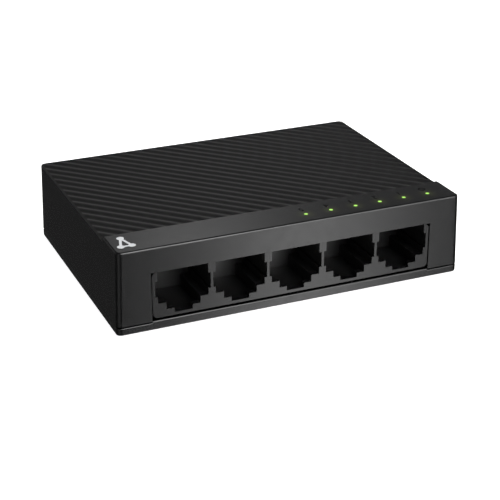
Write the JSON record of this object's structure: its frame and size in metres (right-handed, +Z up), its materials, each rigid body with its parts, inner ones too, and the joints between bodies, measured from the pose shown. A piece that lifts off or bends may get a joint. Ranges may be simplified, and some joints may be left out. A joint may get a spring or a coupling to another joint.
{
  "type": "network switch",
  "caption": "Low rectangular desktop network switch with a row of network sockets in front, lamps along a plain strip and a ribbed top.",
  "frame": {"origin": "centre of the footprint, on the plane that the rubber feet stand on", "axes": "+Z up; -Y out of the face with the network sockets; +X to the right of someone who faces the sockets"},
  "size_m": [0.0878, 0.063, 0.0206],
  "materials": {
    "case_plastic": "charcoal moulded plastic with a fine satin grain",
    "jack_plastic": "dark grey moulded connector plastic, satin",
    "carrier_plastic": "black moulded connector plastic",
    "contact_gold": "gold-flashed spring wire",
    "plated_brass": "nickel-plated brass",
    "tinned_lead": "tinned copper leads",
    "screw_steel": "zinc-plated steel",
    "foot_rubber": "dark grey rubber",
    "label_film": "blank silver-grey film label",
    "board_laminate": "green solder mask",
    "chip_epoxy": "black moulding compound",
    "transformer_plastic": "black moulded magnetics case",
    "ferrite": "dark ferrite",
    "can_aluminium": "bare drawn aluminium",
    "crystal_can": "nickel-plated steel can",
    "resistor_ceramic": "black glazed ceramic",
    "capacitor_ceramic": "tan ceramic",
    "lamp_body": "white lamp body with a green glow",
    "clear_plastic": "clear light pipe, lit green"
  },
  "bodies": {
    "case": {"top_cover": "case_plastic", "base_tray": "case_plastic", "foot_front_left": "foot_rubber", "foot_front_right": "foot_rubber", "foot_rear_left": "foot_rubber", "foot_rear_right": "foot_rubber", "rating_label": "label_film", "case_screws": "screw_steel", "board_screws": "screw_steel", "jack_housing": "jack_plastic", "circuit_board": "board_laminate", "light_pipe": "clear_plastic", "power_lamp": "lamp_body", "dc_jack_housing": "jack_plastic", "dc_jack_centre_pin": "plated_brass", "dc_jack_spring_terminal": "plated_brass", "lan_transformer_leads": "tinned_lead", "switch_chip": "chip_epoxy", "switch_chip_leads": "tinned_lead", "regulator_chip": "chip_epoxy", "regulator_leads": "tinned_lead", "protection_diode": "chip_epoxy", "crystal": "crystal_can", "power_inductor": "ferrite", "input_capacitor": "can_aluminium", "output_capacitor": "can_aluminium", "capacitor_bases": "chip_epoxy", "chip_resistors": "resistor_ceramic", "chip_capacitors": "capacitor_ceramic", "port_1_contact_carrier": "carrier_plastic", "port_1_contact_pins": "contact_gold", "lan_transformer_1": "transformer_plastic", "port_1_lamp": "lamp_body", "port_2_contact_carrier": "carrier_plastic", "port_2_contact_pins": "contact_gold", "lan_transformer_2": "transformer_plastic", "port_2_lamp": "lamp_body", "port_3_contact_carrier": "carrier_plastic", "port_3_contact_pins": "contact_gold", "lan_transformer_3": "transformer_plastic", "port_3_lamp": "lamp_body", "port_4_contact_carrier": "carrier_plastic", "port_4_contact_pins": "contact_gold", "lan_transformer_4": "transformer_plastic", "port_4_lamp": "lamp_body", "port_5_contact_carrier": "carrier_plastic", "port_5_contact_pins": "contact_gold", "lan_transformer_5": "transformer_plastic", "port_5_lamp": "lamp_body"},
    "port_1_springs": {"port_1_contact_springs": "contact_gold"},
    "port_2_springs": {"port_2_contact_springs": "contact_gold"},
    "port_3_springs": {"port_3_contact_springs": "contact_gold"},
    "port_4_springs": {"port_4_contact_springs": "contact_gold"},
    "port_5_springs": {"port_5_contact_springs": "contact_gold"},
    "dc_leaf": {"dc_jack_leaf_spring": "plated_brass"}
  },
  "joints": [
    {"name": "port_1_contact_flex", "type": "hinge", "parent": "case", "child": "port_1_springs", "pos_m": [0.02794, -0.0283, 0.01465], "axis": [1, 0, 0], "range_deg": [0, 13], "stiffness_Nm_per_rad": 0.26},
    {"name": "port_2_contact_flex", "type": "hinge", "parent": "case", "child": "port_2_springs", "pos_m": [0.01397, -0.0283, 0.01465], "axis": [1, 0, 0], "range_deg": [0, 13], "stiffness_Nm_per_rad": 0.26},
    {"name": "port_3_contact_flex", "type": "hinge", "parent": "case", "child": "port_3_springs", "pos_m": [0, -0.0283, 0.01465], "axis": [1, 0, 0], "range_deg": [0, 13], "stiffness_Nm_per_rad": 0.26},
    {"name": "port_4_contact_flex", "type": "hinge", "parent": "case", "child": "port_4_springs", "pos_m": [-0.01397, -0.0283, 0.01465], "axis": [1, 0, 0], "range_deg": [0, 13], "stiffness_Nm_per_rad": 0.26},
    {"name": "port_5_contact_flex", "type": "hinge", "parent": "case", "child": "port_5_springs", "pos_m": [-0.02794, -0.0283, 0.01465], "axis": [1, 0, 0], "range_deg": [0, 13], "stiffness_Nm_per_rad": 0.26},
    {"name": "dc_leaf_flex", "type": "hinge", "parent": "case", "child": "dc_leaf", "pos_m": [0.024, 0.0227, 0.0131], "axis": [1, 0, 0], "range_deg": [0, 4], "stiffness_Nm_per_rad": 0.4}
  ]
}
